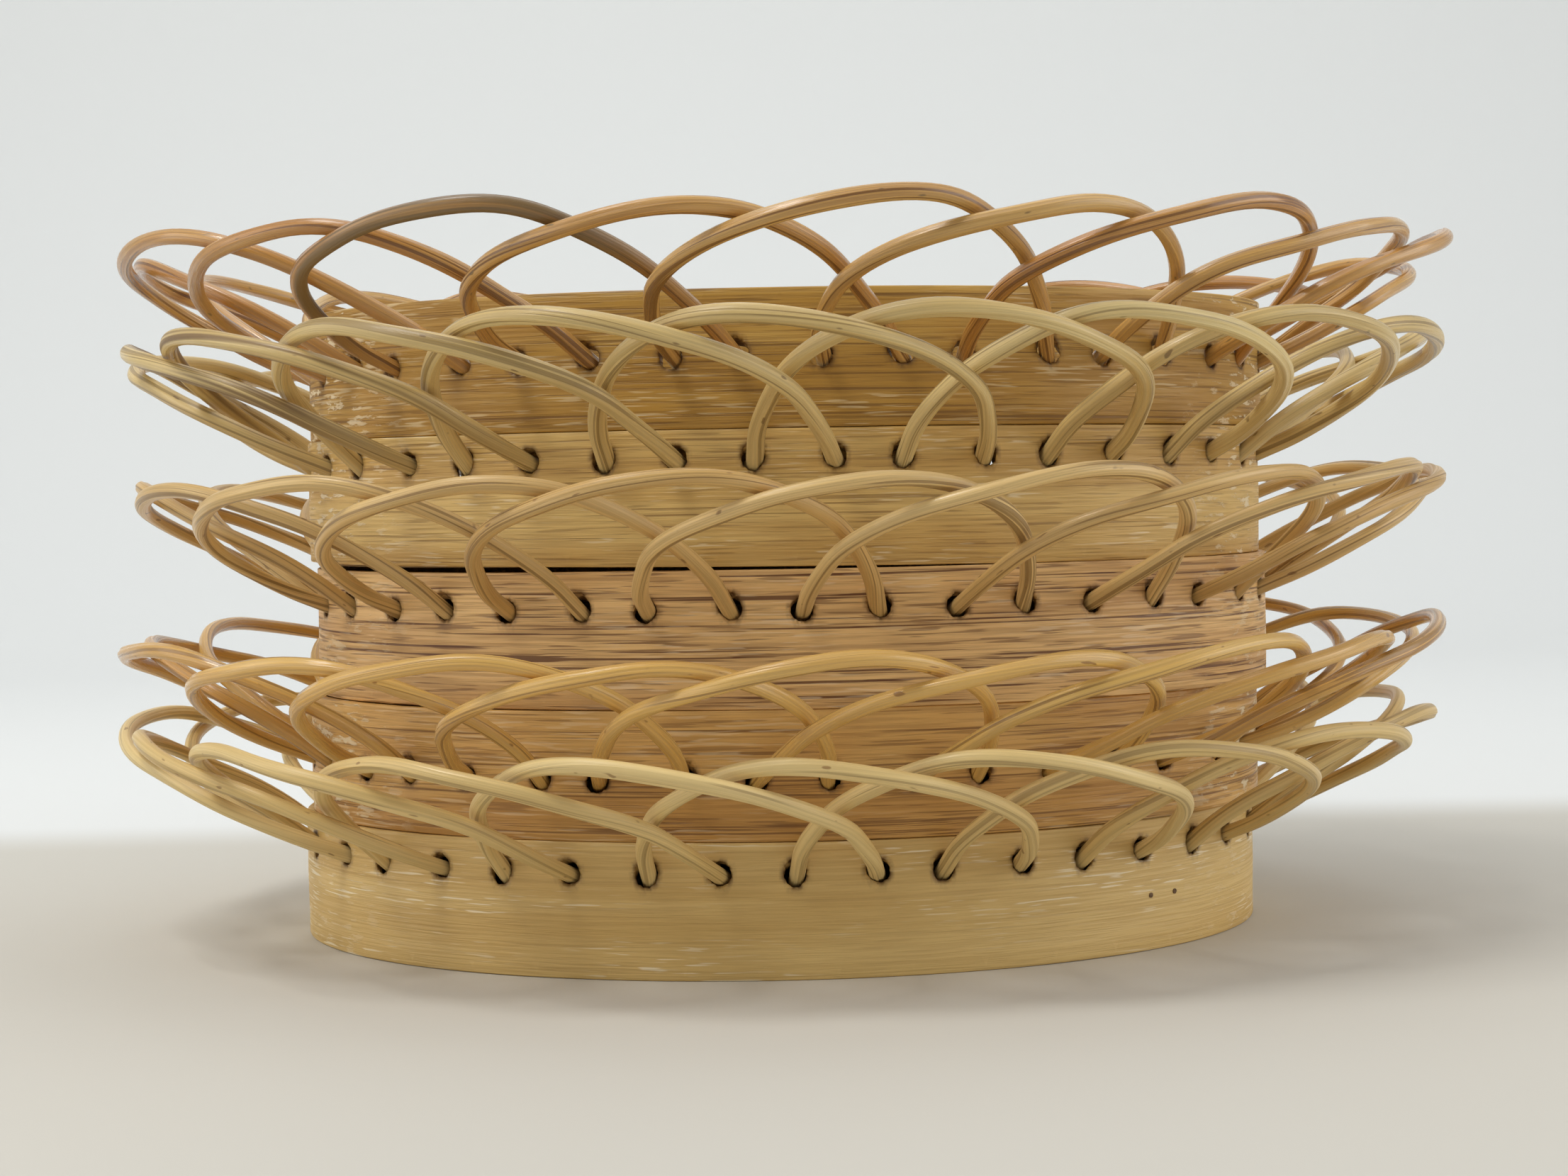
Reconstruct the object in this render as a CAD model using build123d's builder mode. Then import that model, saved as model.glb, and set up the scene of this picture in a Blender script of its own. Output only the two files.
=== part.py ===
"""Stack of five oval bamboo trays with looped cane borders.

Each tray is a thin bamboo hoop bent to an oval, with a slatted floor held between two inner
rings, and a border of round cane threaded through drilled holes and arched out into
overlapping loops. The trays stand edge on edge and lift off one by one.

Millimetres. +Z is up, +X is the long way of the oval, and -Y is the front. The origin is on
the surface that the stack stands on, at the middle of the oval.
"""

from build123d import *
from collections import namedtuple
from math import asin, cos, radians, sin, tan
import os

os.makedirs("parts", exist_ok=True)

# ---- Driving dimensions of every tray -------------------------------------------------------
half_length = 75.0          # oval, outer face of the hoop, middle to end
half_width = 54.0           # oval, outer face of the hoop, middle to front
wall = 1.5                  # thickness of the hoop
fit_gap = 0.05              # between a piece and the one it is slipped into

hole_count = 38             # holes round one hoop; even, because every loop takes two
hole_diameter = 3.0
cane = 2.3                  # diameter of the round cane

loop_span = 5               # holes from a loop's left foot to its right foot
loop_reach = 34.0           # from the holes to the crest, measured up the slope
loop_rise = 32.0            # degrees by which the loops rise from level
cross_offset = 1.6          # from the border's middle surface to the line of a crossing leg
stitch_bend = 2.6           # radius of the cane's bend behind a hole
stitch_depth = 3.9          # from the middle of the hoop's wall to that bend's corner
splice_gap = 0.1            # between the ends of two lengths of cane, in the middle of a stitch
# Corners of a loop's leg, from the foot up: shares of the half width, of the reach, of the
# crossing offset and of the lean, and the sag below the slope. A leg that passes behind its
# neighbours is straighter than one in front.
leg_in_front = [(1.00, 0.27, 0.8, 0.6, 0.3), (0.85, 0.70, 1.0, 1.0, 0.6), (0.33, 1.0, 1.0, 1.0, 0.2)]
leg_behind = [(0.90, 0.27, 0.8, 0.6, 0.3), (0.66, 0.70, 1.0, 1.0, 0.6), (0.24, 1.0, 1.0, 1.0, 0.2)]

ledge_start = 0.6           # height of the ledge ring's lower edge above the tray's lower edge
ledge_height = 1.8
ledge_thick = 2.2
keeper_height = 6.0         # where the cane leaves it room; lower under a low row of holes
keeper_thick = 1.3
stitch_room = 0.3           # between the keeper ring and the cane above it
ring_joint = 0.6            # open butt joint in each inner ring

slat_thick = 1.2
slat_width = 5.6
slat_gap = 1.5
splint_thick = 0.6
splint_width = 4.0
splint_pitch = 13.0         # between neighbouring cross splints
weave_gap = 0.1             # between a slat and the splint that passes over or under it

peg_diameter = 0.8
peg_gap = 0.02
peg_proud = 0.15
keeper_peg_share = 0.75     # height of the pegs up the keeper ring
scarf_groove = 0.3          # width and depth of the line where the hoop's pared ends meet
scarf_half_angle = 4.0      # degrees round the oval from the scarf's middle to each end

# ---- What differs from tray to tray, bottom tray first --------------------------------------
# height: of the hoop
# shift: how far the tray stands to the right of the middle
# holes_at: height of the row of holes above the hoop's lower edge
# turn: degrees round the oval to the first hole
# stray: how far the hand-drilled holes wander along the hoop
# lean: how far the loops' crests lean to the right
# right_in_front: True where a loop's right leg lies outside its neighbours' left legs
# edge_lift: how far the lower edge is pared away at the left end
# extra_pegs, open_pegs: angles of pegs that sit in front, and of an empty peg hole
Tray = namedtuple(
    "Tray", "height shift holes_at turn stray lean right_in_front edge_lift extra_pegs open_pegs"
)
trays = [
    Tray(19.3, -1.2, 14.6, 4.9, 0.5, -3.5, True, 0.0, (314.0, 318.5), (342.0,)),
    Tray(18.3, -0.2, 8.4, 18.1, 1.0, 4.0, False, 0.0, (), ()),
    Tray(19.4, 1.3, 13.7, 4.0, 0.5, 1.0, False, 0.0, (), ()),
    Tray(19.4, 0.3, 15.1, 18.1, 0.5, -3.5, True, 1.0, (), ()),
    Tray(19.3, 0.8, 9.8, 7.1, 1.0, -2.5, False, 0.0, (), ()),
]
back_pegs = (20.0, 62.0, 118.0, 160.0)  # angles round the oval, along the back
scarf_angle = 90.0          # middle of the hoop's scarf joint, at the back
edge_lift_end = 30.0        # x at which a pared lower edge meets the full height again

# ---- Worked out -----------------------------------------------------------------------------
floor_level = ledge_start + ledge_height            # underside of the slats
keeper_start = floor_level + slat_thick
weave_rise = slat_thick + splint_thick + 2 * weave_gap
slat_pitch = slat_width + slat_gap
rise = radians(loop_rise)


def oval(inset):
    """Closed line of the oval, inset from the hoop's outer face."""
    return Edge.make_ellipse(half_length - inset, half_width - inset)


wall_line = oval(wall / 2)
wall_length = wall_line.length
hole_pitch = wall_length / hole_count


def keeper_height_in(tray):
    """Height of the keeper ring, which stays under the cane's stitches."""
    stitches = tray.holes_at - stitch_depth * sin(rise) - cane / 2 - stitch_room
    return min(keeper_height, stitches - keeper_start)


def wall_frame(distance):
    """Point on the middle of the hoop's wall and the level outward direction there."""
    along = distance % wall_length
    point = wall_line.position_at(along, PositionMode.LENGTH)
    tangent = wall_line.tangent_at(along, PositionMode.LENGTH)
    return point, Vector(tangent.Y, -tangent.X, 0)


def oval_direction(angle):
    """Point and outward direction on the middle of the wall at an angle of the oval."""
    a, b = half_length - wall / 2, half_width - wall / 2
    turn = radians(angle)
    outward = Vector(cos(turn) / a, sin(turn) / b, 0).normalized()
    return Vector(a * cos(turn), b * sin(turn), 0), outward


def hole_distance(tray, number, order):
    """Distance round the wall to a hole; holes stray a little, each its own way."""
    stray = tray.stray * sin(2.4 * (number % hole_count) + 1.7 * order)
    return tray.turn / 360 * wall_length + number * hole_pitch + stray


def skirt_point(distance, up, out, row):
    """Point on the sloping border: up the slope from the row of holes, and out square to it."""
    point, outward = wall_frame(distance)
    slope = outward * cos(rise) + Vector(0, 0, sin(rise))
    square = outward * sin(rise) - Vector(0, 0, cos(rise))
    return point + row + slope * up + square * out


def loop_corners(tray, order, number, row):
    """Corners of one loop from its left foot to its right foot, outside the hoop."""
    left = hole_distance(tray, 2 * number, order)
    right = hole_distance(tray, 2 * number + loop_span, order)
    middle, half = (left + right) / 2, (right - left) / 2
    front = 1 if tray.right_in_front else -1
    reach = loop_reach * (1 + 0.03 * sin(3.1 * number + order))
    corners = []
    for side in (-1, 1):
        leg = leg_in_front if side == front else leg_behind
        for wide, high, across, leaning, sag in leg[::-side]:
            along = middle + side * wide * half + leaning * tray.lean
            out = side * front * across * cross_offset + sag
            corners.append(skirt_point(along, high * reach, out, row))
    return corners


def stitch_end(turn, other_turn):
    """End of a length of cane, just short of the middle of the stitch between two holes."""
    middle = (turn + other_turn) * 0.5
    return middle + (turn - other_turn).normalized() * splice_gap / 2


def bend_radii(points):
    """Largest sensible radius at each corner of a run of cane."""
    radii = []
    for before, corner, after in zip(points, points[1:], points[2:]):
        turn = radians((corner - before).get_angle(after - corner))
        run = min((corner - before).length, (after - corner).length)
        radii.append(0.45 * run / tan(turn / 2))
    radii[0] = radii[-1] = stitch_bend
    return radii


stand_at = 0.0
for order, tray in enumerate(trays, start=1):
    base = stand_at
    stand_at += tray.height
    stand = Vector(tray.shift, 0, base)
    hole_row = stand + Vector(0, 0, tray.holes_at)
    ring_height = keeper_height_in(tray)
    peg_levels = (ledge_start + ledge_height / 2, keeper_start + keeper_peg_share * ring_height)
    peg_angles = back_pegs + tray.extra_pegs
    # Each loop's holes and corners, and for every hole its middle and the cane's next corner.
    loops, feet = [], {}
    for number in range(hole_count // 2):
        left, right = 2 * number, (2 * number + loop_span) % hole_count
        corners = loop_corners(tray, order, number, hole_row)
        loops.append((left, right, corners))
        for hole, outer in ((left, corners[0]), (right, corners[-1])):
            feet[hole] = (wall_frame(hole_distance(tray, hole, order))[0] + hole_row, outer)

    # ---- Hoop: one bamboo strip bent to an oval, its pared ends glued in a scarf ------------
    with BuildPart() as hoop:
        with BuildSketch(Plane(stand)):
            Ellipse(half_length, half_width)
            Ellipse(half_length - wall, half_width - wall, mode=Mode.SUBTRACT)
        extrude(amount=tray.height)
        if tray.edge_lift:
            with BuildSketch(Plane(stand, x_dir=(1, 0, 0), z_dir=(0, -1, 0))):
                with BuildLine():
                    end = half_length + wall
                    lift = tray.edge_lift * (end + edge_lift_end) / (half_length + edge_lift_end)
                    Polyline((-end, 0), (edge_lift_end, 0), (-end, lift), close=True)
                make_face()
            extrude(amount=half_width + wall, both=True, mode=Mode.SUBTRACT)
        for foot, outer in feet.values():
            with BuildSketch(Plane(foot, z_dir=outer - foot)):
                Circle(hole_diameter / 2)
        extrude(amount=2 * wall, both=True, mode=Mode.SUBTRACT)
        for angle in peg_angles + tray.open_pegs:
            point, outward = oval_direction(angle)
            for level in peg_levels:
                if level == peg_levels[0] and angle in tray.extra_pegs + tray.open_pegs:
                    continue
                with BuildSketch(Plane(point + stand + Vector(0, 0, level), z_dir=outward)):
                    Circle(peg_diameter / 2)
        extrude(amount=wall, both=True, mode=Mode.SUBTRACT)
        for side in (-1, 1):
            point, outward = oval_direction(scarf_angle + side * scarf_half_angle)
            at_face = point + stand + outward * side * wall / 2
            with BuildSketch(Plane(at_face, x_dir=outward, z_dir=(0, 0, 1))):
                Rectangle(scarf_groove, scarf_groove)
        extrude(amount=tray.height, mode=Mode.SUBTRACT)
    hoop.part.label = f"hoop_{order}"
    export_step(hoop.part, f"parts/hoop_{order}.step")

    # ---- Ledge ring: the strip inside the hoop that the floor lies on -----------------------
    with BuildPart() as ledge:
        inset = wall + fit_gap
        with BuildSketch(Plane(stand + Vector(0, 0, ledge_start))):
            Ellipse(half_length - inset, half_width - inset)
            inner = inset + ledge_thick
            Ellipse(half_length - inner, half_width - inner, mode=Mode.SUBTRACT)
            with Locations((-half_length, 0)):
                Rectangle(half_length / 2, ring_joint, mode=Mode.SUBTRACT)
        extrude(amount=ledge_height)
        for angle in back_pegs:
            point, outward = oval_direction(angle)
            with BuildSketch(Plane(point + stand + Vector(0, 0, peg_levels[0]), z_dir=outward)):
                Circle(peg_diameter / 2)
        extrude(amount=-(wall + ledge_thick + wall), mode=Mode.SUBTRACT)
    ledge.part.label = f"ledge_ring_{order}"
    export_step(ledge.part, f"parts/ledge_ring_{order}.step")

    # ---- Keeper ring: the thinner strip that holds the floor down ---------------------------
    with BuildPart() as keeper:
        with BuildSketch(Plane(stand + Vector(0, 0, keeper_start))):
            Ellipse(half_length - inset, half_width - inset)
            inner = inset + keeper_thick
            Ellipse(half_length - inner, half_width - inner, mode=Mode.SUBTRACT)
            with Locations((half_length, 0)):
                Rectangle(half_length / 2, ring_joint, mode=Mode.SUBTRACT)
        extrude(amount=ring_height)
        for angle in peg_angles:
            point, outward = oval_direction(angle)
            with BuildSketch(Plane(point + stand + Vector(0, 0, peg_levels[1]), z_dir=outward)):
                Circle(peg_diameter / 2)
        extrude(amount=-(wall + keeper_thick + wall), mode=Mode.SUBTRACT)
    keeper.part.label = f"keeper_ring_{order}"
    export_step(keeper.part, f"parts/keeper_ring_{order}.step")

    # ---- Floor slats: flat bamboo slats side by side, their ends between the two rings ------
    floor_half_length = half_length - wall - 2 * fit_gap
    floor_half_width = half_width - wall - 2 * fit_gap
    slat_count = int(2 * (floor_half_length - slat_width / 2) / slat_pitch) // 2 * 2 + 1
    with BuildPart() as slats:
        with BuildSketch(Plane(stand + Vector(0, 0, floor_level))):
            with GridLocations(slat_pitch, 0, slat_count, 1):
                Rectangle(slat_width, 2 * half_width)
            Ellipse(floor_half_length, floor_half_width, mode=Mode.INTERSECT)
        extrude(amount=slat_thick)
    slats.part.label = f"floor_slats_{order}"
    export_step(slats.part, f"parts/floor_slats_{order}.step")

    # ---- Cross splints: thin strips woven over and under the slats --------------------------
    clear_length = half_length - wall - 2 * fit_gap - ledge_thick - fit_gap
    clear_width = half_width - wall - 2 * fit_gap - ledge_thick - fit_gap
    splint_count = int(2 * (clear_width - splint_width) / splint_pitch) // 2 * 2 + 1
    middle_level = floor_level + slat_thick / 2
    with BuildPart() as splints:
        for strip in range(splint_count):
            y = (strip - (splint_count - 1) / 2) * splint_pitch
            far_edge = abs(y) + splint_width / 2
            reach = clear_length * cos(asin(far_edge / clear_width))
            crossings = int((reach - slat_width / 2 - slat_gap) / slat_pitch)
            side = 1 if strip % 2 else -1
            wave = []
            for slat in range(-crossings, crossings + 1):
                level = middle_level + side * (1 if slat % 2 else -1) * weave_rise / 2
                flat = slat_width / 2 + weave_gap
                wave.append((slat * slat_pitch - flat, level))
                wave.append((slat * slat_pitch + flat, level))
            edge = stand + Vector(0, y + splint_width / 2, 0)
            with BuildSketch(Plane(edge, x_dir=(1, 0, 0), z_dir=(0, -1, 0))):
                with BuildLine():
                    upper = [(x, z + splint_thick / 2) for x, z in wave]
                    lower = [(x, z - splint_thick / 2) for x, z in reversed(wave)]
                    Polyline(*upper, *lower, close=True)
                make_face()
            extrude(amount=splint_width)
    splints.part.label = f"floor_splints_{order}"
    export_step(splints.part, f"parts/floor_splints_{order}.step")

    # ---- Pegs: thin bamboo pegs through the hoop into the two rings -------------------------
    with BuildPart() as pegs:
        for angle in peg_angles:
            point, outward = oval_direction(angle)
            for level, thick in zip(peg_levels, (ledge_thick, keeper_thick)):
                if level == peg_levels[0] and angle in tray.extra_pegs:
                    continue
                tip = wall / 2 + peg_proud
                start = point + stand + outward * tip + Vector(0, 0, level)
                with BuildSketch(Plane(start, z_dir=outward)):
                    Circle(peg_diameter / 2 - peg_gap)
                extrude(amount=-(wall + fit_gap + thick))
    pegs.part.label = f"pegs_{order}"
    export_step(pegs.part, f"parts/pegs_{order}.step")

    # ---- Cane border: loops outside, short stitches inside, where the lengths are spliced ---
    turns = {hole: foot + (foot - outer).normalized() * stitch_depth
             for hole, (foot, outer) in feet.items()}
    with BuildPart() as border:
        for left, right, corners in loops:
            start = stitch_end(turns[left], turns[left + 1])
            end = stitch_end(turns[right], turns[right - 1])
            points = [start, turns[left], *corners, turns[right], end]
            with BuildLine() as route:
                FilletPolyline(*points, radius=bend_radii(points))
            with BuildSketch(Plane(start, z_dir=points[1] - start)):
                Circle(cane / 2)
            sweep(path=route.wire())
    border.part.label = f"cane_border_{order}"
    export_step(border.part, f"parts/cane_border_{order}.step")
    print(f"tray {order}: base {base:.1f}, {slat_count} slats, {splint_count} splints, {len(loops)} loops")

print(f"hole pitch {hole_pitch:.2f}, stack height {stand_at:.1f}")
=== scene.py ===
# %% [markdown]
# # Five oval bamboo trays with borders of looped cane
#
# The real object is a stack of five shallow trays. Each has a hoop bent from one bamboo strip,
# a slatted floor that two inner strips hold, and one long round cane that runs out of one hole,
# arches outward and up, goes back in five holes further on, and so makes nineteen loops.
# The measured model of the hoops, floors and rings is loaded first and stays where it is. The
# steps after it give the seen pieces the shape and finish of hand-split bamboo.

# %% Load the measured model
import math

import bmesh
import bpy
import numpy as np
from mathutils import Matrix, Vector


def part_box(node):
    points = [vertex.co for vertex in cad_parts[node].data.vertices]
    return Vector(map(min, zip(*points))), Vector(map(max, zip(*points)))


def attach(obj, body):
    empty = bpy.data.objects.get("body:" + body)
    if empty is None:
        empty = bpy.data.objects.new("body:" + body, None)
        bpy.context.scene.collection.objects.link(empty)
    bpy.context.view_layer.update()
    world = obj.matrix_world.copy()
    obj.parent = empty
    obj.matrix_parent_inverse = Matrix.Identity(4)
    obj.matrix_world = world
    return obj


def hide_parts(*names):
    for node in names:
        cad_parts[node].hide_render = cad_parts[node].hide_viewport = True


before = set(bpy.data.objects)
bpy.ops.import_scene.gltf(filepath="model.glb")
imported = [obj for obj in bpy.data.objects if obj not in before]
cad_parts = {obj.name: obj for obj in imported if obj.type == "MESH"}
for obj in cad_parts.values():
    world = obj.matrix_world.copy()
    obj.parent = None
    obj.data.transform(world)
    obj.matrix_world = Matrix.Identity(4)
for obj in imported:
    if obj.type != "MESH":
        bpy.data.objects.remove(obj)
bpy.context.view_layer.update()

mm = 0.001

# %% [markdown]
# ## What the trays have in common, and what differs
#
# The trays came from one pattern, but hands drilled the holes. Hole rows sit higher or lower,
# some trays are laced the other way round, and crests lean. Positions come from the measured
# model; the few numbers here say how the cane runs, because a hole's middle is not a corner of
# any box.

# %% Sizes of the lacing
WALL = 1.5 * mm
HOLE_COUNT = 38
HOLE_RADIUS = 1.6 * mm
HOLE_SLACK = 0.28 * mm
CANE_RADIUS = 1.15 * mm
LOOP_SPAN = 5
LOOP_REACH = 34.0 * mm
LOOP_RISE = math.radians(32.0)
CROSS_OFFSET = 1.6 * mm
STITCH_DEPTH = 3.9 * mm


class Tray:
    """One tray: where its hoop stands, and how its cane is laced."""

    def __init__(self, number, holes_at, turn, stray, lean, right_in_front, pared=0.0):
        self.number = number
        self.body = f"tray_{number}"
        low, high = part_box(f"hoop_{number}")
        self.base, self.height = low[2], high[2] - low[2]
        self.middle = np.array([(low[0] + high[0]) / 2, 0, 0])
        self.holes_at, self.turn, self.stray = holes_at * mm, turn / 360, stray * mm
        self.lean, self.front, self.pared = lean * mm, 1 if right_in_front else -1, pared * mm


trays = [
    Tray(1, 14.6, 4.9, 0.5, -3.5, True),
    Tray(2, 8.4, 18.1, 1.0, 4.0, False),
    Tray(3, 13.7, 4.0, 0.5, 1.0, False),
    Tray(4, 15.1, 18.1, 0.5, -3.5, True, pared=1.0),
    Tray(5, 9.8, 7.1, 1.0, -2.5, False),
]
for tray in trays:
    print(f"{tray.body}: base {tray.base / mm:.1f} mm, hoop {tray.height / mm:.1f} mm high")

# %% [markdown]
# ## Walking round the oval
#
# Bamboo and cane are worked by length, not by angle, so everything is placed by the distance
# walked along the middle of the hoop's wall. A fine table of the oval turns a distance into a
# point and the level direction that faces outward there.

# %% Distance along the wall to a place
hoop_low, hoop_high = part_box("hoop_1")
mid_length = (hoop_high[0] - hoop_low[0]) / 2 - WALL / 2
mid_width = (hoop_high[1] - hoop_low[1]) / 2 - WALL / 2
turns = np.linspace(0, 2 * np.pi, 20001)
oval = np.stack([mid_length * np.cos(turns), mid_width * np.sin(turns)], 1)
walked = np.concatenate([[0], np.cumsum(np.linalg.norm(np.diff(oval, axis=0), axis=1))])
wall_length = walked[-1]
hole_pitch = wall_length / HOLE_COUNT


def unit(vectors):
    """The same directions with length one."""
    return vectors / np.linalg.norm(vectors, axis=-1, keepdims=True)


def wall_place(distance):
    """Points on the middle of the wall, and outward directions, at distances along it."""
    turn = np.interp(np.asarray(distance) % wall_length, walked, turns)
    level = np.zeros_like(turn)
    point = np.stack([mid_length * np.cos(turn), mid_width * np.sin(turn), level], -1)
    return point, unit(np.stack([np.cos(turn) / mid_length, np.sin(turn) / mid_width, level], -1))


def hole_distance(tray, number):
    """Distance to a hole; each strays a little from even spacing."""
    stray = tray.stray * math.sin(2.4 * (number % HOLE_COUNT) + 1.7 * tray.number)
    return tray.turn * wall_length + number * hole_pitch + stray


print(f"a hoop is {wall_length / mm:.0f} mm round, a hole every {hole_pitch / mm:.1f} mm")

# %% [markdown]
# ## The line of the cane
#
# A bent cane is one smooth line, so a loop is given by a few guide points: both feet, and three
# corners up each side. They lie on a slope that rises outward from the holes. A leg that passes
# over its neighbours stands off the slope, and one that passes behind them is straighter and
# lies closer in, which is what weaves the border.

# %% Guide points of a loop
UP = np.array([0.0, 0.0, 1.0])
# At each corner of a leg, from the foot up: shares of the half width, of the reach, of the
# crossing offset and of the lean, and the sag below the slope.
LEG_IN_FRONT = [(1.00, 0.27, 0.8, 0.6, 0.3 * mm), (0.85, 0.70, 1.0, 1.0, 0.6 * mm),
                (0.33, 1.00, 1.0, 1.0, 0.2 * mm)]
LEG_BEHIND = [(0.90, 0.27, 0.8, 0.6, 0.3 * mm), (0.66, 0.70, 1.0, 1.0, 0.6 * mm),
              (0.24, 1.00, 1.0, 1.0, 0.2 * mm)]


def on_slope(tray, distance, up, out):
    """A point of the border: up the slope from the holes, and out square to it."""
    point, outward = wall_place(distance)
    slope = outward * math.cos(LOOP_RISE) + UP * math.sin(LOOP_RISE)
    square = outward * math.sin(LOOP_RISE) - UP * math.cos(LOOP_RISE)
    return tray.middle + point + UP * (tray.base + tray.holes_at) + slope * up + square * out


def loop_guides(tray, number):
    """Corners of one loop, from beside its left foot to beside its right foot."""
    left = hole_distance(tray, 2 * number)
    right = hole_distance(tray, 2 * number + LOOP_SPAN)
    middle, half = (left + right) / 2, (right - left) / 2
    reach = LOOP_REACH * (1 + 0.03 * math.sin(3.1 * number + tray.number))
    guides = []
    for side in (-1, 1):
        leg = LEG_IN_FRONT if side == tray.front else LEG_BEHIND
        for wide, high, across, leaning, sag in leg[::-side]:
            distance = middle + side * wide * half + leaning * tray.lean
            out = side * tray.front * across * CROSS_OFFSET + sag
            guides.append(on_slope(tray, distance, high * reach, out))
    return guides


def foot_of(tray, number):
    """The middle of a hole, halfway through the wall."""
    return on_slope(tray, hole_distance(tray, number), 0, 0)


def bores_of(tray):
    """For each hole: its middle, the way the cane leaves it, and 1 for a loop's right foot."""
    bores = {}
    for number in range(HOLE_COUNT // 2):
        guides = loop_guides(tray, number)
        for side, hole, guide in ((-1, 2 * number, guides[0]),
                                  (1, 2 * number + LOOP_SPAN, guides[-1])):
            foot = foot_of(tray, hole)
            bores[hole % HOLE_COUNT] = (foot, unit(guide - foot), side)
    return bores


# %% [markdown]
# ## One strand for a whole border
#
# From a loop's right foot the cane makes a short stitch inside the hoop, back by one hole, and
# comes out as the left foot of the loop after next. Nineteen is odd, so one strand visits every
# loop before it meets its own start. A smooth line through the middles of the guide runs bends
# the way cane does: evenly, and never at a point.

# %% A smooth line along guides
def smooth_line(guides, steps):
    """Points of a smooth line that touches each run of guides at its middle."""
    guides = np.asarray(guides)
    middles = (guides[:-1] + guides[1:]) / 2
    middles[0], middles[-1] = guides[0], guides[-1]
    share = np.linspace(0, 1, steps, endpoint=False)[:, None]
    pieces = [
        (1 - share) ** 2 * start + 2 * share * (1 - share) * corner + share**2 * end
        for start, corner, end in zip(middles[:-1], guides[1:-1], middles[1:])
    ]
    return np.concatenate(pieces + [guides[-1:]])


def strand_of(tray):
    """The middle line of a tray's cane, and for each point its loop and freedom to wander."""
    bores = bores_of(tray)
    guides, loop_of, free = [], [], []
    for visit in range(HOLE_COUNT // 2):
        number = 2 * visit % (HOLE_COUNT // 2)
        left, right = 2 * number % HOLE_COUNT, (2 * number + LOOP_SPAN) % HOLE_COUNT
        ends = []
        for hole in (left, right):
            foot, way, _ = bores[hole]
            ends.append((foot - way * STITCH_DEPTH, foot))
        run = [*ends[0], *loop_guides(tray, number), *ends[1][::-1]]
        guides += run
        loop_of += [number] * len(run)
        free += [0, 0, 0.3, 1, 1, 1, 1, 0.3, 0, 0]
    splice = (guides[0] + guides[-1]) / 2
    guides = [splice, *guides, splice]
    places = np.arange(len(guides))
    line = smooth_line(guides, 11)
    at = np.linspace(0, len(guides) - 1, len(line))
    wander = np.interp(at, places, [0, *free, 0])
    loops = np.array([loop_of[0], *loop_of, loop_of[-1]])[np.round(at).astype(int)]
    return line, loops, wander


# %% [markdown]
# ## Small unevenness
#
# Hand-split material wavers. A sum of a few slow waves with seeded phases gives an unevenness
# that is smooth and comes out the same each time the lesson is run.

# %% Smooth seeded waves
def waver(place, seed, longest, count=4):
    """Smooth values of about -1 to 1 along a length, with waves of the given length and less."""
    luck = np.random.default_rng(seed)
    value = np.zeros_like(np.asarray(place, float))
    for wave in range(count):
        turn = 2 * np.pi * np.asarray(place) * (1.0 + 0.77 * wave) / longest
        value += np.sin(turn + luck.uniform(0, 2 * np.pi)) / (1 + 0.6 * wave)
    return value / 1.9


# %% [markdown]
# ## Turning a line into cane
#
# The cane could be a curve with a round bevel, but a real one is not a pipe: it is peeled, so it
# has lengthwise grooves and flats, and it is a little thicker in one place than in another. So
# its skin is made ring by ring round the line. Each skin point also remembers its place in the
# cane, along and across, which lets the finish follow the fibres round every bend.

# %% Skin a line
RING = 30


def turning_frames(line):
    """Two square directions at each point that don't spin about the line."""
    along = unit(np.gradient(line, axis=0))
    side = np.zeros_like(line)
    side[0] = unit(np.cross(along[0], [0.3, 0.2, 1.0]))
    for n in range(1, len(line)):
        carried = side[n - 1] - along[n] * np.dot(side[n - 1], along[n])
        side[n] = carried / np.linalg.norm(carried)
    return side, np.cross(along, side)


def cane_ring(seed):
    """Radius factors round a cane: slightly oval, with three grooves and fine ribs."""
    luck = np.random.default_rng(seed)
    round_turn = np.linspace(0, 2 * np.pi, RING, endpoint=False)
    shape = 1 + 0.035 * np.cos(2 * (round_turn - luck.uniform(0, np.pi)))
    for groove in range(3):
        at = luck.uniform(0, 2 * np.pi)
        gap = np.angle(np.exp(1j * (round_turn - at)))
        shape -= luck.uniform(0.06, 0.13) * np.exp(-((gap / 0.22) ** 2))
    return shape + luck.normal(0, 0.010, RING)


def new_mesh(name, points, faces, place=None, **marks):
    """A smooth mesh object with a grain place and named marks at its points."""
    mesh = bpy.data.meshes.new(name)
    mesh.from_pydata(points.tolist(), [], faces.tolist() if hasattr(faces, "tolist") else faces)
    if place is not None:
        mesh.attributes.new("grain_place", "FLOAT_VECTOR", "POINT").data.foreach_set(
            "vector", np.ascontiguousarray(place, np.float32).ravel())
    for mark, values in marks.items():
        mesh.attributes.new(mark, "FLOAT", "POINT").data.foreach_set(
            "value", np.ascontiguousarray(values, np.float32).ravel())
    mesh.shade_smooth()
    piece = bpy.data.objects.new(name, mesh)
    bpy.context.scene.collection.objects.link(piece)
    return piece


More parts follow.
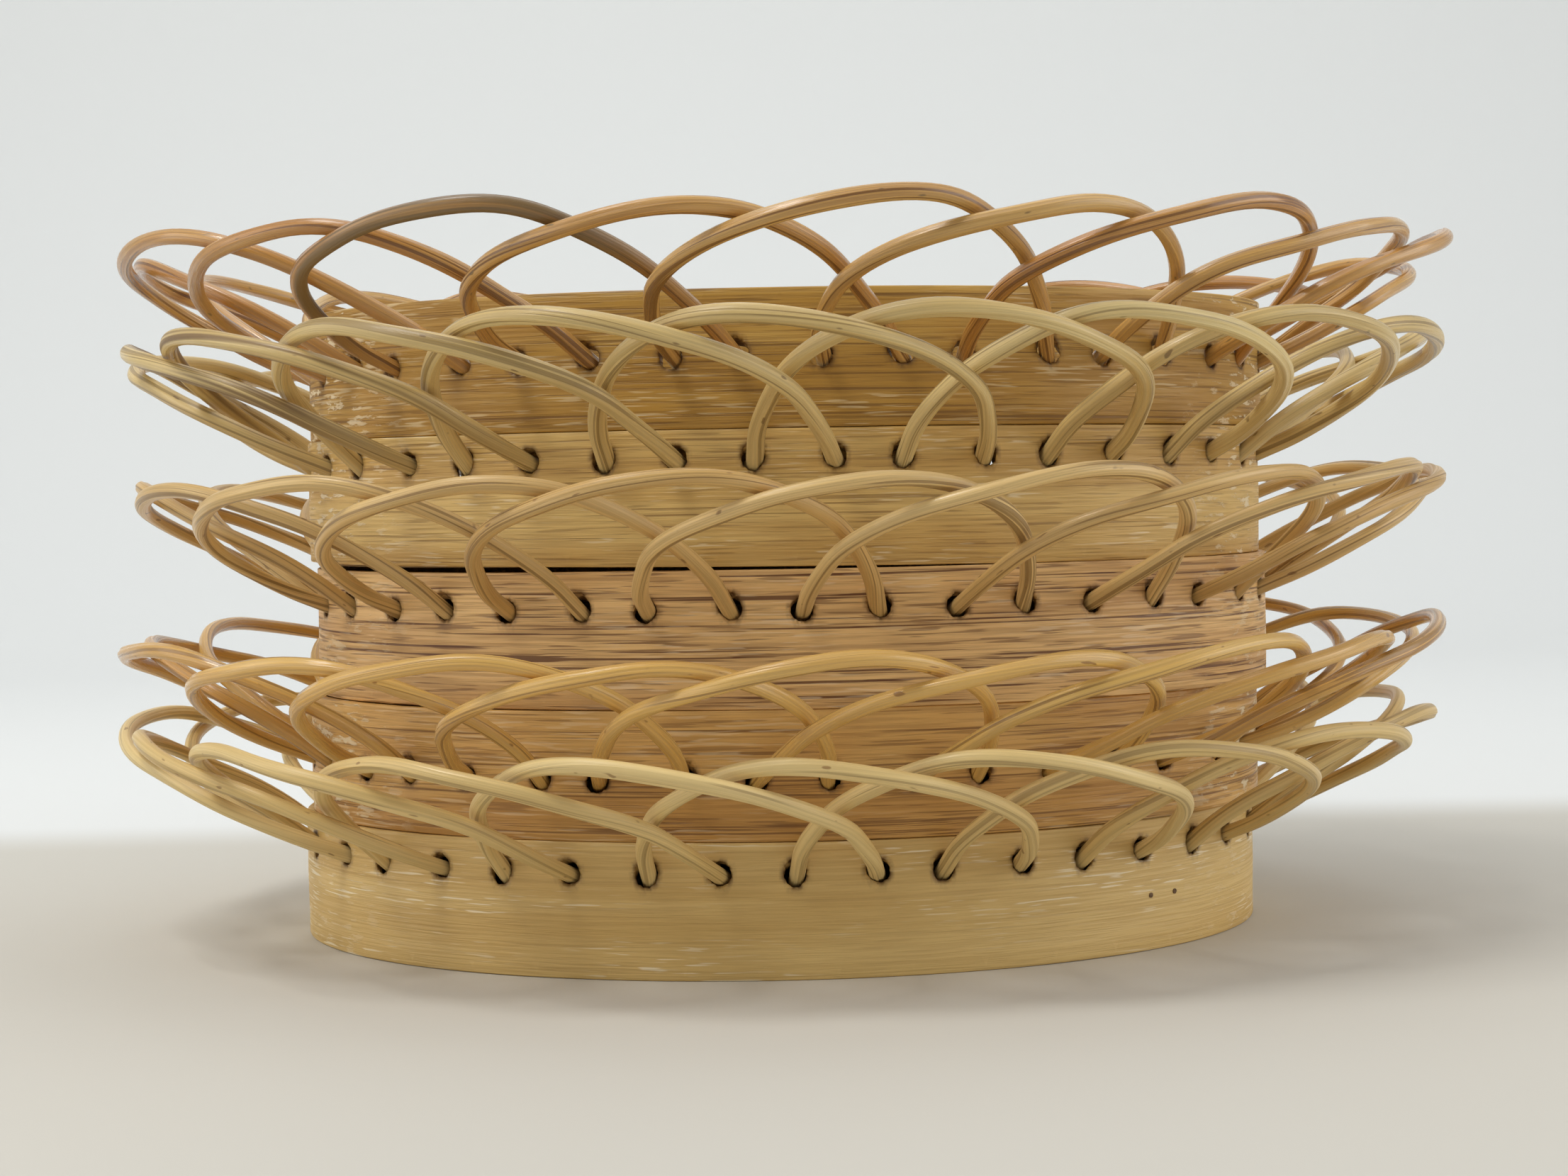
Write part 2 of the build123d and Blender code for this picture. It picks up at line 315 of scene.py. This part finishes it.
def skin_cane(name, line, radius, seed, **marks):
    """A closed skin of cane round a line; marks are given per point of the line."""
    side, other = turning_frames(line)
    length = np.concatenate([[0], np.cumsum(np.linalg.norm(np.diff(line, axis=0), axis=1))])
    twist = 0.9 * waver(length, seed, 0.16)
    shape = cane_ring(seed)
    turn = np.linspace(0, 2 * np.pi, RING, endpoint=False)[None, :] + twist[:, None]
    reach = (radius * (1 + 0.05 * waver(length, seed + 1, 0.05)))[:, None] * shape[None, :]
    points = (line[:, None, :] + reach[..., None] * (
        np.cos(turn)[..., None] * side[:, None, :] + np.sin(turn)[..., None] * other[:, None, :]))
    still = np.linspace(0, 2 * np.pi, RING, endpoint=False)[None, :] + 0 * twist[:, None]
    place = np.stack([
        np.broadcast_to(length[:, None], reach.shape),
        reach * np.cos(still), reach * np.sin(still)], -1)
    rings = len(line)
    start = np.arange(rings - 1)[:, None] * RING + np.arange(RING)[None, :]
    after = np.arange(rings - 1)[:, None] * RING + (np.arange(RING)[None, :] + 1) % RING
    quads = np.stack([start, after, after + RING, start + RING], -1).reshape(-1, 4).tolist()
    quads.append(list(range(RING))[::-1])
    quads.append([(rings - 1) * RING + n for n in range(RING)])
    spread = {mark: np.repeat(values, RING) for mark, values in marks.items()}
    return new_mesh(name, points.reshape(-1, 3), quads, place.reshape(-1, 3), **spread)


# %% [markdown]
# ## The five borders
#
# Each cane keeps to its guides at its holes and inside the hoop, and wavers by up to a few
# tenths of a millimetre on its arches. A mark per loop carries how dark that stretch of cane is,
# because the strips were split from different stems, and a second mark says where brown pith was
# left on.

# %% Lace the borders
LOOP_WANDER = 0.22 * mm
THICKNESS = {1: 1.0, 2: 0.98, 3: 1.0, 4: 1.09, 5: 1.0}
PITH_LOOPS = {1: (), 2: (), 3: (), 4: (8, 9), 5: (11,)}
canes = {}
for tray in trays:
    line, loops, wander = strand_of(tray)
    length = np.concatenate([[0], np.cumsum(np.linalg.norm(np.diff(line, axis=0), axis=1))])
    for axis in range(3):
        line[:, axis] += LOOP_WANDER * wander * waver(length, 40 * tray.number + axis, 0.06)
    luck = np.random.default_rng(500 + tray.number)
    tones = luck.uniform(0, 1, HOLE_COUNT // 2)
    tone = np.convolve(np.pad(tones[loops], 15, "edge"), np.ones(31) / 31, "valid")
    pith = np.isin(loops, PITH_LOOPS[tray.number]).astype(float) * wander
    piece = skin_cane(f"border_cane_{tray.number}", line,
                      CANE_RADIUS * THICKNESS[tray.number], 70 + tray.number,
                      stem_tone=tone, pith=pith)
    canes[tray.number] = piece
    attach(piece, tray.body)
    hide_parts(f"cane_border_{tray.number}")
    print(f"{piece.name}: {length[-1]:.2f} m of cane, {len(piece.data.polygons)} faces")

# %% [markdown]
# ## Hoops of split bamboo
#
# A hoop is a strip about one and a half millimetres thick. It could be a plain band with holes
# cut by a boolean, but the cutter would leave clean edges and long thin faces. Instead each hole
# gets its own patch of wall: rings of points that pass from a slightly torn hole mouth to the
# patch's straight edges. The edges of the strip are softened and waver by a tenth of a
# millimetre, always inwards, so that no hoop grows into the one it stands on.

# %% Patches of wall round the holes
PATCH_LONG, PATCH_HIGH, PATCH_RINGS = 16, 26, 8
SOFT_EDGE = 0.22 * mm
TORN = 0.055          # how uneven a hole's mouth is, share of its radius
SCARF = 0.25          # share of the way round at which the strip's ends overlap


def hole_mouth(way, outward, ahead, face):
    """Middle and outline of a slanting round hole where it meets one face of the wall."""
    start = unit(np.cross(way, UP))
    other = np.cross(way, start)
    round_turn = np.linspace(0, 2 * np.pi, 96, endpoint=False)[:, None]
    rim = HOLE_RADIUS * (np.cos(round_turn) * start + np.sin(round_turn) * other)
    rim -= (rim @ outward)[:, None] / (way @ outward) * way
    middle = way * face * WALL / 2 / (way @ outward)
    return middle @ ahead, middle[2], rim @ ahead, rim[:, 2]


def mouth_reach(angle, along, up, seed):
    """Distance from a hole's middle to its torn mouth in given directions."""
    found = np.arctan2(up, along)
    order = np.argsort(found)
    reach = np.interp(angle, found[order], np.hypot(along, up)[order], period=2 * np.pi)
    luck = np.random.default_rng(seed)
    tear = sum(np.sin(n * angle + luck.uniform(0, 2 * np.pi)) * luck.uniform(0.3, 1)
               for n in (2, 3, 5, 8, 13))
    return reach * (1 + TORN * tear / 2)


def patch_edge(left, right, low, high):
    """Points round a patch, from its lower right corner upward and round."""
    across = np.linspace(right, left, PATCH_LONG + 1)
    up = np.linspace(low, high, PATCH_HIGH + 1)
    along = np.concatenate([np.full(PATCH_HIGH, right), across[:-1],
                            np.full(PATCH_HIGH, left), across[:0:-1]])
    return along, np.concatenate([up[:-1], np.full(PATCH_LONG, high),
                                  up[:0:-1], np.full(PATCH_LONG, low)])


def hoop_points(tray, along, up, out):
    """Points of the hoop's skin, with the wavering of a split strip."""
    point, outward = wall_place(along)
    share = np.clip(up / tray.height, 0, 1)
    pared = tray.pared * np.clip((30 * mm - point[..., 0]) / (105 * mm), 0, 1)
    seed = 90 * tray.number
    lower = pared + 0.07 * mm * (1 + waver(along, seed, 0.13)) * 0.6
    upper = 0.07 * mm * (1 + waver(along, seed + 1, 0.17)) * 0.6
    height = up + (1 - share) ** 4 * lower - share**4 * upper
    bow = 0.05 * mm * waver(along, seed + 2, 0.045) + 0.06 * mm * waver(up, seed + 3, 0.03)
    past = (along % wall_length - SCARF * wall_length) / (14 * mm)
    step = np.where((past > 0) & (past < 1), 0.16 * mm * (1 - past), 0)
    skin = np.where(out > 0, step, 0) * 1.0
    return point + outward * (out + bow + skin)[..., None] + UP * (tray.base + height)[..., None]


def hoop_band(tray):
    """The whole hoop as one mesh of patches; how many edges stay open is printed."""
    bores = bores_of(tray)
    distances = [hole_distance(tray, n) for n in range(-1, HOLE_COUNT + 1)]
    points, places, nears, faces, used = [], [], [], [], 0
    half, soft = WALL / 2, SOFT_EDGE
    for number in range(HOLE_COUNT):
        before, here, after = distances[number:number + 3]
        left, right = (before + here) / 2, (here + after) / 2
        foot, way, side = bores[number]
        outward = wall_place(here)[1]
        ahead = np.array([-outward[1], outward[0], 0.0])
        edge_along, edge_up = patch_edge(left, right, soft, tray.height - soft)
        rows, width = [], len(edge_along)
        for face, rings in ((1, PATCH_RINGS), (-1, 4)):
            shift, lift, along, up = hole_mouth(way, outward, ahead, face)
            # The cane is pulled to one side of its hole, so a dark gap stays on the other.
            hole_along = here + shift + side * HOLE_SLACK
            hole_up = tray.holes_at + lift + side * 0.5 * HOLE_SLACK
            angle = np.arctan2(edge_up - hole_up, edge_along - hole_along)
            reach = mouth_reach(angle, along, up, 1000 * tray.number + 10 * number + face)
            mouth_along, mouth_up = (hole_along + reach * np.cos(angle),
                                     hole_up + reach * np.sin(angle))
            sheet = []
            for ring in range(rings + 1):
                share = (ring / rings) ** 1.5
                sheet.append((mouth_along + (edge_along - mouth_along) * share,
                              mouth_up + (edge_up - mouth_up) * share,
                              np.full(width, face * half), np.full(width, 1 - share)))
            # The mouth is rounded over a little, as drilling and the cane wear it.
            sheet[0][2][:] -= face * 0.12 * mm
            rows.append(sheet if face > 0 else sheet[::-1])
        outer, inner = rows
        bore = [tuple(a + (b - a) * share for a, b in zip(outer[0], inner[-1]))
                for share in (0.33, 0.67)]
        for row in outer:
            row[3][:] = np.clip(1 - (np.hypot(row[0] - outer[0][0], row[1] - outer[0][1])
                                     / (0.75 * mm)), 0, 1)
        sheets = inner + bore[::-1] + outer
        for row in sheets:
            points.append(hoop_points(tray, row[0], row[1], row[2]))
            places.append(np.stack([row[0], row[2], row[1]], -1))
            nears.append(row[3])
        turn = np.arange(width)
        for ring in range(len(sheets) - 1):
            here_row, next_row = used + ring * width, used + (ring + 1) * width
            ahead_turn = (turn + 1) % width
            faces.append(np.stack([here_row + turn, here_row + ahead_turn,
                                   next_row + ahead_turn, next_row + turn], -1))
        used += len(sheets) * width
        # Softened long edges, from the outer face over to the inner one.
        for up, sign in ((tray.height, 1), (0.0, -1)):
            across = np.linspace(left, right, PATCH_LONG + 1)
            profile = [(half, soft), (half - 0.3 * soft, 0.3 * soft), (half - soft, 0.0),
                       (soft - half, 0.0), (0.3 * soft - half, 0.3 * soft), (-half, soft)]
            for out, inset in profile:
                level = np.full(len(across), up - sign * inset)
                depth = np.full(len(across), out)
                points.append(hoop_points(tray, across, level, depth))
                places.append(np.stack([across, depth, level], -1))
                nears.append(np.zeros(len(across)))
            step = np.arange(PATCH_LONG)
            for ring in range(len(profile) - 1):
                a = used + ring * len(across) + step
                b = a + len(across)
                quad = [a, a + 1, b + 1, b]
                faces.append(np.stack(quad if sign > 0 else quad[::-1], -1))
            used += len(profile) * len(across)
    place = np.concatenate(places)
    band = new_mesh(f"hoop_band_{tray.number}", np.concatenate(points), np.concatenate(faces),
                    place, near_hole=np.concatenate(nears))
    welded = bmesh.new()
    welded.from_mesh(band.data)
    bmesh.ops.remove_doubles(welded, verts=welded.verts, dist=2e-6)
    bmesh.ops.recalc_face_normals(welded, faces=welded.faces)
    open_edges = sum(not edge.is_manifold for edge in welded.edges)
    welded.to_mesh(band.data)
    welded.free()
    band.location = tray.middle
    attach(band, tray.body)
    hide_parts(f"hoop_{tray.number}")
    print(f"{band.name}: {len(band.data.polygons)} faces, {open_edges} open edges")
    return band


bands = {tray.number: hoop_band(tray) for tray in trays}

# %% [markdown]
# ## Finishes: bamboo and cane are bundles of fibres
#
# Both are woods without rings. Their look comes from long fibres: fine streaks, darker
# lines where a bundle lies open, and short bright dashes where the skin was scraped and the
# fibres shine. All of these are the same thing to a material: noise that is drawn out along the
# fibre and tight across it. So one helper draws out noise, and each finish mixes a few of them.

# %% Small helpers for materials
def colour(red, green, blue):
    """A colour as the eye names it, 0 to 255, as the light values that the shader needs."""
    light = [((c / 255 + 0.055) / 1.055) ** 2.4 for c in (red, green, blue)]
    return (*light, 1.0)


class Finish:
    """A material with short ways to add the nodes that the finishes below share."""

    def __init__(self, name, roughness, place="grain_place"):
        self.material = bpy.data.materials.new(name)
        self.material.use_nodes = True
        self.tree = self.material.node_tree
        self.shader = self.tree.nodes["Principled BSDF"]
        self.shader.inputs["Roughness"].default_value = roughness
        if place == "object":
            self.place = self.tree.nodes.new("ShaderNodeTexCoord").outputs["Object"]
        else:
            self.place = self.mark(place, "Vector")

    def mark(self, name, output="Fac"):
        """A named mark of the mesh."""
        node = self.tree.nodes.new("ShaderNodeAttribute")
        node.attribute_name = name
        return node.outputs[output]

    def fibres(self, scale, low, high, detail=3.0, rough=0.6, moved=(0, 0, 0)):
        """Noise drawn out along the fibre, with its middle values spread from 0 to 1."""
        moving = self.tree.nodes.new("ShaderNodeMapping")
        moving.inputs["Scale"].default_value = scale
        moving.inputs["Location"].default_value = moved
        noise = self.tree.nodes.new("ShaderNodeTexNoise")
        noise.inputs["Scale"].default_value = 1.0
        noise.inputs["Detail"].default_value = detail
        noise.inputs["Roughness"].default_value = rough
        spread = self.tree.nodes.new("ShaderNodeMapRange")
        spread.interpolation_type = "SMOOTHSTEP"
        spread.inputs["From Min"].default_value = low
        spread.inputs["From Max"].default_value = high
        self.tree.links.new(self.place, moving.inputs["Vector"])
        self.tree.links.new(moving.outputs["Vector"], noise.inputs["Vector"])
        self.tree.links.new(noise.outputs["Fac"], spread.inputs["Value"])
        return spread.outputs["Result"]

    def maths(self, kind, first, second):
        """One sum, product or the like of two values."""
        node = self.tree.nodes.new("ShaderNodeMath")
        node.operation = kind
        node.use_clamp = True
        for socket, value in zip(node.inputs, (first, second)):
            if hasattr(value, "node"):
                self.tree.links.new(value, socket)
            else:
                socket.default_value = value
        return node.outputs["Value"]

    def mix(self, share, first, second):
        """Colour or value between two others."""
        node = self.tree.nodes.new("ShaderNodeMix")
        node.data_type = "RGBA"
        for socket, value in ((node.inputs["Factor"], share), (node.inputs[6], first),
                              (node.inputs[7], second)):
            if hasattr(value, "node"):
                self.tree.links.new(value, socket)
            else:
                socket.default_value = value
        return node.outputs[2]

    def paint(self, tint, rough=None, relief=None, depth=0.1 * mm):
        """Send the colour, roughness and relief to the shader."""
        self.tree.links.new(tint, self.shader.inputs["Base Color"])
        if rough is not None:
            self.tree.links.new(rough, self.shader.inputs["Roughness"])
        if relief is not None:
            bump = self.tree.nodes.new("ShaderNodeBump")
            bump.inputs["Strength"].default_value = 1.0
            bump.inputs["Distance"].default_value = depth
            self.tree.links.new(relief, bump.inputs["Height"])
            self.tree.links.new(bump.outputs["Normal"], self.shader.inputs["Normal"])
        return self.material

    def between(self, share, low, high):
        """A value that runs from low to high."""
        node = self.tree.nodes.new("ShaderNodeMapRange")
        node.inputs["To Min"].default_value = low
        node.inputs["To Max"].default_value = high
        self.tree.links.new(share, node.inputs["Value"])
        return node.outputs["Result"]


# %% [markdown]
# ## The hoops' finish
#
# The strips differ. The bottom one is pale straw with fine broken flecks, the second and the top
# one are golden brown, the third has strong dark lines, and the fourth is pale with soft lines.
# At the tight ends the skin cracked as it was bent, and pale flakes show. Round every hole the
# drill left a browned, torn edge.

# %% Finish the hoops
def hoop_finish(name, pale, deep, line, lines, flecks, flakes, seed):
    """A scraped bamboo strip: fibres, dark lines, bright flecks, flaked ends, browned holes."""
    finish = Finish(name, 0.5)
    shift = (seed * 3.1, seed * 1.7, seed * 2.3)
    broad = finish.fibres((9, 60, 150), 0.35, 0.66, 2, moved=shift)
    fine = finish.fibres((60, 300, 2300), 0.38, 0.64, 3, 0.6, moved=shift)
    tint = finish.mix(broad, colour(*pale), colour(*deep))
    tint = finish.mix(finish.maths("MULTIPLY", fine, 0.16 + 0.20 * lines), tint, colour(*line))
    long_lines = finish.fibres((20, 200, 1900), 0.60, 0.65, 2, 0.5, moved=shift)
    dashes = finish.fibres((90, 200, 2400), 0.60, 0.66, 1, 0.5, moved=shift[::-1])
    dark = finish.maths("ADD", finish.maths("MULTIPLY", long_lines, 0.9),
                        finish.maths("MULTIPLY", dashes, 0.55))
    dark = finish.maths("MULTIPLY", dark, lines)
    tint = finish.mix(dark, tint, colour(line[0] * 0.85, line[1] * 0.8, line[2] * 0.7))
    fleck = finish.fibres((150, 300, 2600), 0.58, 0.66, 1, 0.5, moved=shift)
    where = finish.fibres((30, 60, 190), 0.45, 0.62, 1, moved=shift[::-1])
    fleck = finish.maths("MULTIPLY", finish.maths("MULTIPLY", fleck, where), flecks)
    tint = finish.mix(fleck, tint, colour(*[c + (255 - c) * 0.42 for c in pale]))
    flake = finish.fibres((210, 300, 760), 0.56, 0.63, 4, 0.62, moved=shift)
    flake = finish.maths("MULTIPLY", finish.maths("MULTIPLY", flake, finish.mark("tight_bend")),
                         flakes)
    tint = finish.mix(flake, tint, colour(232, 214, 178))
    torn = finish.fibres((900, 900, 900), 0.35, 0.6, 2)
    torn = finish.maths("MULTIPLY", finish.mark("near_hole"), finish.between(torn, 0.25, 1.0))
    tint = finish.mix(torn, tint, colour(104, 74, 38))
    rough = finish.maths("ADD", finish.between(fine, 0.42, 0.60),
                         finish.maths("MULTIPLY", flake, 0.3))
    rough = finish.maths("SUBTRACT", rough, finish.maths("MULTIPLY", fleck, 0.12))
    relief = finish.maths("SUBTRACT", finish.maths("ADD", finish.between(fine, 0.5, 0.2), flake),
                          finish.maths("MULTIPLY", dark, 0.5))
    return finish.paint(tint, rough, relief, 0.12 * mm)


HOOP_FINISHES = {
    1: ("hoop_straw", (224, 192, 124), (208, 172, 102), (164, 124, 64), 0.18, 1.0, 0.35),
    2: ("hoop_golden", (226, 180, 104), (200, 150, 76), (128, 84, 34), 0.75, 0.4, 0.9),
    3: ("hoop_tan", (240, 198, 132), (216, 170, 106), (124, 80, 42), 1.0, 0.4, 0.5),
    4: ("hoop_pale", (228, 194, 120), (208, 168, 94), (144, 104, 50), 0.60, 0.7, 1.0),
    5: ("hoop_honey", (208, 168, 86), (184, 140, 58), (120, 82, 32), 0.65, 0.6, 1.0),
}
for tray in trays:
    slot, *looks = HOOP_FINISHES[tray.number]
    band = bands[tray.number]
    spots = np.empty(3 * len(band.data.vertices))
    band.data.vertices.foreach_get("co", spots)
    far = np.abs(spots.reshape(-1, 3)[:, 0]) / (mid_length + WALL / 2)
    bent = np.clip((far - 0.72) / 0.2, 0, 1).astype(np.float32)
    band.data.attributes.new("tight_bend", "FLOAT", "POINT").data.foreach_set("value", bent)
    band.data.materials.append(hoop_finish(slot, *looks, seed=tray.number))

# %% [markdown]
# ## The canes' finish
#
# Peeled cane is smoother than the strips and has a soft shine along its top. Its streaks follow
# it round every bend, so the noise is read in the cane's own place, not in the room's. The mark
# of each loop's stem shifts the colour from loop to loop, and brown pith is painted where it was
# left on.

# %% Finish the canes
def cane_finish(name, pale, deep, pith, streaks, roughness, gloss, seed):
    """Peeled round cane: lengthwise streaks, a tone per stem, pith and small dark scars."""
    finish = Finish(name, roughness)
    shift = (seed * 2.3, seed * 1.1, seed * 3.7)
    broad = finish.fibres((22, 260, 260), 0.36, 0.64, 2, moved=shift)
    stem = finish.maths("ADD", finish.maths("MULTIPLY", finish.mark("stem_tone"), 0.62),
                        finish.maths("MULTIPLY", broad, 0.4))
    tint = finish.mix(stem, colour(*pale), colour(*deep))
    fine = finish.fibres((26, 3600, 3600), 0.38, 0.64, 4, 0.62, moved=shift)
    tint = finish.mix(finish.maths("MULTIPLY", fine, streaks * 0.7), tint,
                      colour(*[c * 0.68 for c in deep]))
    stripe = finish.fibres((9, 1500, 1500), 0.59, 0.63, 1, 0.5, moved=shift[::-1])
    tint = finish.mix(finish.maths("MULTIPLY", stripe, streaks * 1.3), tint,
                      colour(deep[0] * 0.58, deep[1] * 0.52, deep[2] * 0.38))
    left_on = finish.maths("MULTIPLY", finish.fibres((9, 520, 520), 0.44, 0.56, 2, moved=shift),
                           finish.mark("pith"))
    tint = finish.mix(finish.maths("MULTIPLY", left_on, 0.85), tint, colour(*pith))
    scar = finish.fibres((330, 900, 900), 0.72, 0.78, 1, moved=shift)
    tint = finish.mix(finish.maths("MULTIPLY", scar, 0.7), tint, colour(*pith))
    rough = finish.between(finish.maths("ADD", finish.maths("MULTIPLY", fine, 0.6), left_on),
                           roughness - 0.07, roughness + 0.18)
    relief = finish.maths("SUBTRACT", finish.between(fine, 0.8, 0.35),
                          finish.maths("MULTIPLY", stripe, 0.35))
    finish.shader.inputs["Coat Weight"].default_value = gloss
    finish.shader.inputs["Coat Roughness"].default_value = 0.16
    return finish.paint(tint, rough, relief, 0.07 * mm)


CANE_FINISHES = {
    1: ("cane_ivory", (238, 212, 150), (218, 182, 110), (140, 98, 50), 0.35, 0.38, 0.06),
    2: ("cane_golden", (234, 194, 112), (212, 158, 78), (130, 82, 34), 0.45, 0.28, 0.35),
    3: ("cane_buff", (236, 204, 140), (210, 168, 100), (128, 88, 44), 0.50, 0.36, 0.12),
    4: ("cane_pale", (236, 212, 150), (210, 178, 112), (112, 80, 40), 0.45, 0.34, 0.15),
    5: ("cane_amber", (222, 182, 110), (188, 128, 56), (104, 84, 50), 0.60, 0.27, 0.40),
}
for tray in trays:
    slot, *looks = CANE_FINISHES[tray.number]
    canes[tray.number].data.materials.append(cane_finish(slot, *looks, seed=tray.number + 5))

# %% [markdown]
# ## Floor, rings and pegs
#
# These measured pieces already have the right shape, so only their finish changes. They have no
# marks of their own: the noise is read in the room, drawn out along the slats, along the
# splints, and level all round for the rings.

# %% Finish the inner pieces
def strip_finish(name, pale, deep, along, seed):
    """Plain split bamboo; along says how tight the fibres are in each direction."""
    finish = Finish(name, 0.6, "object")
    shift = (seed * 1.3, seed * 2.9, seed * 0.7)
    broad = finish.fibres(tuple(s * 0.12 for s in along), 0.35, 0.65, 2, moved=shift)
    fine = finish.fibres(along, 0.32, 0.68, 4, 0.65, moved=shift)
    tint = finish.mix(broad, colour(*pale), colour(*deep))
    tint = finish.mix(finish.maths("MULTIPLY", fine, 0.6), tint,
                      colour(*[c * 0.66 for c in deep]))
    return finish.paint(tint, finish.between(fine, 0.48, 0.68), fine, 0.06 * mm)


strips = {
    "floor_slats": strip_finish("floor_bamboo", (206, 178, 122), (182, 148, 92),
                                (1900, 22, 1900), 1),
    "floor_splints": strip_finish("splint_bamboo", (196, 162, 102), (170, 132, 76),
                                  (22, 1900, 1900), 2),
    "ledge_ring": strip_finish("inner_bamboo", (198, 166, 108), (172, 136, 80),
                               (24, 24, 2200), 3),
    "pegs": strip_finish("peg_bamboo", (128, 92, 50), (92, 62, 32), (2500, 2500, 2500), 4),
}
strips["keeper_ring"] = strips["ledge_ring"]
for tray in trays:
    for kind, material in strips.items():
        node = bpy.data.objects[f"{kind}_{tray.number}"]
        for slot in node.material_slots:
            slot.material = material
print("finished", len(strips) * len(trays), "inner pieces")

# %% [markdown]
# ## A pale sweep and soft light
#
# The stack stands on a pale surface that curves up behind it, so that no edge shows. Its colour
# turns lighter from about a tenth of a metre behind the stack's middle, long before the curve:
# that is painted light, standing in for the lit rise of the backdrop. A small light high in
# front, left of the middle, gives the shine along the canes. A wide light on each side shapes the
# hoops, a fourth lights the backdrop, and the air around is dimmer in front than behind, so the
# shadows stay open.

# %% Sweep and lights
def sweep_surface():
    """A floor that rises behind the stack in one curve."""
    radius, back, high, wide = 0.35, 0.55, 1.6, 1.6
    profile = [(-1.2, 0.0), (0.0, 0.0), (back, 0.0)]
    for step in range(1, 13):
        turn = math.pi / 2 * step / 12
        profile.append((back + radius * math.sin(turn), radius * (1 - math.cos(turn))))
    profile.append((back + radius, high))
    points = np.array([(x, y, z) for y, z in profile for x in (-wide, wide)])
    faces = [(2 * n, 2 * n + 1, 2 * n + 3, 2 * n + 2) for n in range(len(profile) - 1)]
    surface = new_mesh("pale_sweep", points, faces)
    finish = Finish("paper_painted_lighter_behind", 0.8, "object")
    # Painted light: from 0.085 to 0.125 m behind the middle the colour turns from the darker
    # floor tone to a lighter one, a painted stand-in for the lit rise of the backdrop, which only
    # starts to curve at 0.55 m.
    split = finish.tree.nodes.new("ShaderNodeSeparateXYZ")
    behind = finish.tree.nodes.new("ShaderNodeMapRange")
    behind.interpolation_type = "SMOOTHSTEP"
    behind.inputs["From Min"].default_value = 0.085
    behind.inputs["From Max"].default_value = 0.125
    finish.tree.links.new(finish.place, split.inputs["Vector"])
    finish.tree.links.new(split.outputs["Y"], behind.inputs["Value"])
    cloud = finish.fibres((3, 3, 3), 0.3, 0.7, 2)
    table = finish.mix(cloud, colour(199, 196, 187), colour(205, 202, 193))
    surface.data.materials.append(
        finish.paint(finish.mix(behind.outputs["Result"], table, colour(226, 228, 227))))
    return surface


sweep_surface()
world = bpy.data.worlds.new("soft_air")
world.use_nodes = True
sky = world.node_tree
way = sky.nodes.new("ShaderNodeTexCoord")
split = sky.nodes.new("ShaderNodeSeparateXYZ")
dim = sky.nodes.new("ShaderNodeMapRange")
dim.inputs["From Min"].default_value, dim.inputs["From Max"].default_value = -1.0, 0.1
dim.inputs["To Min"].default_value, dim.inputs["To Max"].default_value = 0.20, 0.60
sky.links.new(way.outputs["Generated"], split.inputs["Vector"])
sky.links.new(split.outputs["Y"], dim.inputs["Value"])
sky.links.new(dim.outputs["Result"], sky.nodes["Background"].inputs["Strength"])
sky.nodes["Background"].inputs["Color"].default_value = (0.96, 0.98, 1.0, 1)
bpy.context.scene.world = world


def soft_light(name, size, power, place, tint, aimed_at=(0, 0, 0.05)):
    """A square soft light that faces a point, most often the middle of the stack."""
    lamp = bpy.data.lights.new(name, "AREA")
    lamp.size, lamp.energy, lamp.color = size, power, tint
    light = bpy.data.objects.new(name, lamp)
    light.location = place
    aim = Vector(aimed_at) - light.location
    light.rotation_euler = aim.to_track_quat("-Z", "Y").to_euler()
    bpy.context.scene.collection.objects.link(light)


soft_light("window", 0.30, 4.0, (-0.38, -0.24, 0.90), (1.0, 0.985, 0.95))
soft_light("left_wall", 0.9, 3.8, (-1.0, -0.25, 0.28), (1.0, 0.98, 0.95))
soft_light("right_wall", 0.9, 5.4, (1.0, -0.32, 0.36), (1.0, 0.985, 0.96))
soft_light("behind", 1.0, 4.2, (0, 0.42, 1.25), (0.97, 0.985, 1.0), aimed_at=(0, 0.95, 0.7))

# %% [markdown]
# ## The camera
#
# The camera stands close by, at about two thirds of the stack's height and almost level, so
# the lower rims curve down and the upper rims curve up. The camera is turned a little to the
# side and a little about its own line of sight.

# %% Camera
DISTANCE, EYE_HEIGHT = 384.45 * mm, 67.85 * mm
LOOK_DOWN, ROLL, STACK_TURN, ASIDE = 0.04075, -0.0179, 0.0384, 0.18 * mm
lens = bpy.data.cameras.new("camera")
lens.sensor_width = 36.0
lens.lens = 36.0 * 3395.9 / 2212
lens.clip_start, lens.clip_end = 0.01, 20.0
camera = bpy.data.objects.new("camera", lens)
camera.matrix_world = (
    Matrix.Rotation(-STACK_TURN, 4, "Z")
    @ Matrix.Translation((-ASIDE, -DISTANCE, EYE_HEIGHT))
    @ Matrix.Rotation(math.pi / 2 - LOOK_DOWN, 4, "X")
    @ Matrix.Rotation(ROLL, 4, "Z")
)
bpy.context.scene.collection.objects.link(camera)
bpy.context.scene.camera = camera
bpy.context.scene.view_settings.view_transform = "Standard"
